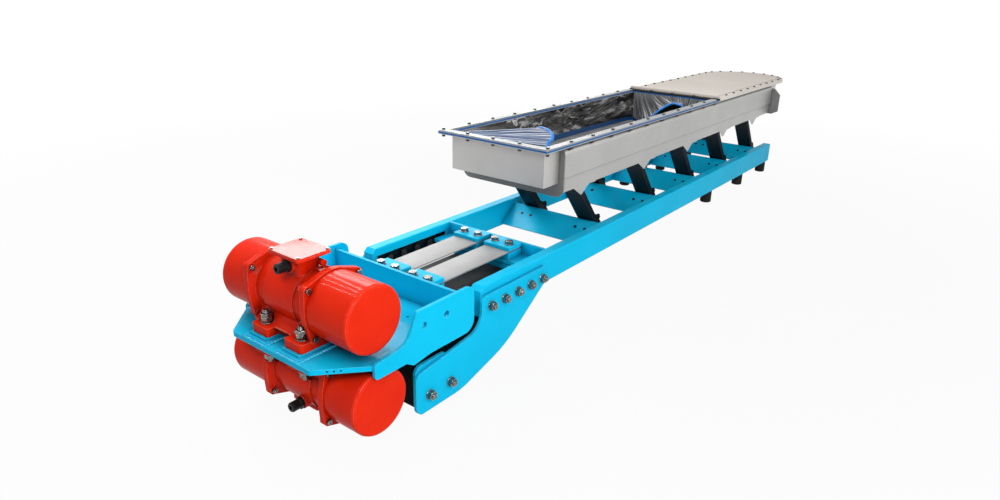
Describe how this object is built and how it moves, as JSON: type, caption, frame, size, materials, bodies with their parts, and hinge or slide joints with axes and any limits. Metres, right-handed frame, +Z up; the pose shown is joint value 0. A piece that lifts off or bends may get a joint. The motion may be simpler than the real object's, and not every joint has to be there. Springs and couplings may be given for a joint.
{
  "type": "vibrating conveyor",
  "caption": "Vibrating conveyor: stainless trough with film sleeve on inclined leaf-spring legs over a tube frame, shaken by stacked unbalance motors on flat springs.",
  "frame": {"origin": "midway between the four corner feet, on the plane of their undersides", "axes": "+X towards the discharge end, +Y towards the far side, +Z up"},
  "size_m": [4.262, 0.698, 0.7989],
  "materials": {
    "blue_paint": "gloss paint",
    "dark_paint": "dark paint in shade",
    "stainless": "brushed stainless",
    "red_casting": "gloss red paint on a casting",
    "red_sheet": "gloss red paint",
    "spring_steel": "ground spring steel",
    "black_leaf": "fibre reinforced leaf, matt",
    "rubber": "matt rubber",
    "gasket": "blue silicone",
    "film": "clear film",
    "zinc": "zinc plated",
    "black_plastic": "black polyamide",
    "windings": "laminated core with windings",
    "bearing_steel": "ground steel"
  },
  "bodies": {
    "base": {"rail_near": "blue_paint", "rail_far": "blue_paint", "spring_cross_plate": "blue_paint", "leg_cross_member_1": "blue_paint", "leg_cross_member_2": "blue_paint", "leg_cross_member_3": "blue_paint", "leg_cross_member_4": "blue_paint", "leg_cross_member_5": "blue_paint", "side_plate_near": "blue_paint", "side_plate_far": "blue_paint", "ballast_beam": "dark_paint", "beam_end_plates": "blue_paint", "frame_bolts": "zinc", "rubber_feet": "rubber", "rear_spring_clamps": "blue_paint", "leg_foot_clamps": "dark_paint", "drive_springs_upper": "spring_steel", "drive_springs_lower": "spring_steel", "leg_springs_near": "black_leaf", "leg_springs_far": "black_leaf"},
    "exciter": {"exciter_side_near": "blue_paint", "exciter_side_far": "blue_paint", "motor_plate": "blue_paint", "exciter_spring_shelf": "blue_paint", "front_spring_clamps": "blue_paint", "exciter_bolts": "zinc", "upper_motor_housing": "red_casting", "upper_end_covers": "red_sheet", "upper_terminal_lid": "red_sheet", "upper_cable_gland": "black_plastic", "upper_motor_fixings": "zinc", "upper_stator": "windings", "upper_bearings": "bearing_steel", "lower_motor_housing": "red_casting", "lower_end_covers": "red_sheet", "lower_terminal_lid": "red_sheet", "lower_cable_gland": "black_plastic", "lower_motor_fixings": "zinc", "lower_stator": "windings", "lower_bearings": "bearing_steel"},
    "rotor_upper": {"upper_rotor_shaft": "bearing_steel", "upper_eccentric_weights": "spring_steel"},
    "rotor_lower": {"lower_rotor_shaft": "bearing_steel", "lower_eccentric_weights": "spring_steel"},
    "trough": {"trough_pan": "stainless", "discharge_spigot": "stainless", "trough_side_near": "stainless", "trough_side_far": "stainless", "front_bulkhead": "stainless", "rear_bulkhead": "stainless", "leg_brackets": "stainless", "leg_head_clamps": "dark_paint", "inlet_gasket": "gasket", "inlet_clamp_frame": "stainless", "inlet_sleeve": "film", "cover_frame": "stainless", "cover_plate": "stainless", "cover_seal": "rubber", "cover_front_bar": "stainless", "flange_bolts": "zinc"}
  },
  "joints": [
    {"name": "trough_stroke", "type": "slide", "parent": "base", "child": "trough", "axis": [0.7771, 0, 0.6293], "range_m": [-0.005, 0.005], "stiffness_N_per_m": 900000, "springref_m": 0.00154, "deforming": ["leg_springs_near", "leg_springs_far"]},
    {"name": "exciter_float", "type": "slide", "parent": "base", "child": "exciter", "axis": [0, 0, 1], "range_m": [-0.003, 0.003], "stiffness_N_per_m": 2500000, "springref_m": 0.00128, "deforming": ["drive_springs_upper", "drive_springs_lower"]},
    {"name": "upper_rotor_spin", "type": "hinge", "parent": "exciter", "child": "rotor_upper", "pos_m": [-2.17, 0, 0.258], "axis": [0, 1, 0], "continuous": true},
    {"name": "lower_rotor_spin", "type": "hinge", "parent": "exciter", "child": "rotor_lower", "pos_m": [-2.17, 0, -0.029], "axis": [0, 1, 0], "continuous": true}
  ]
}
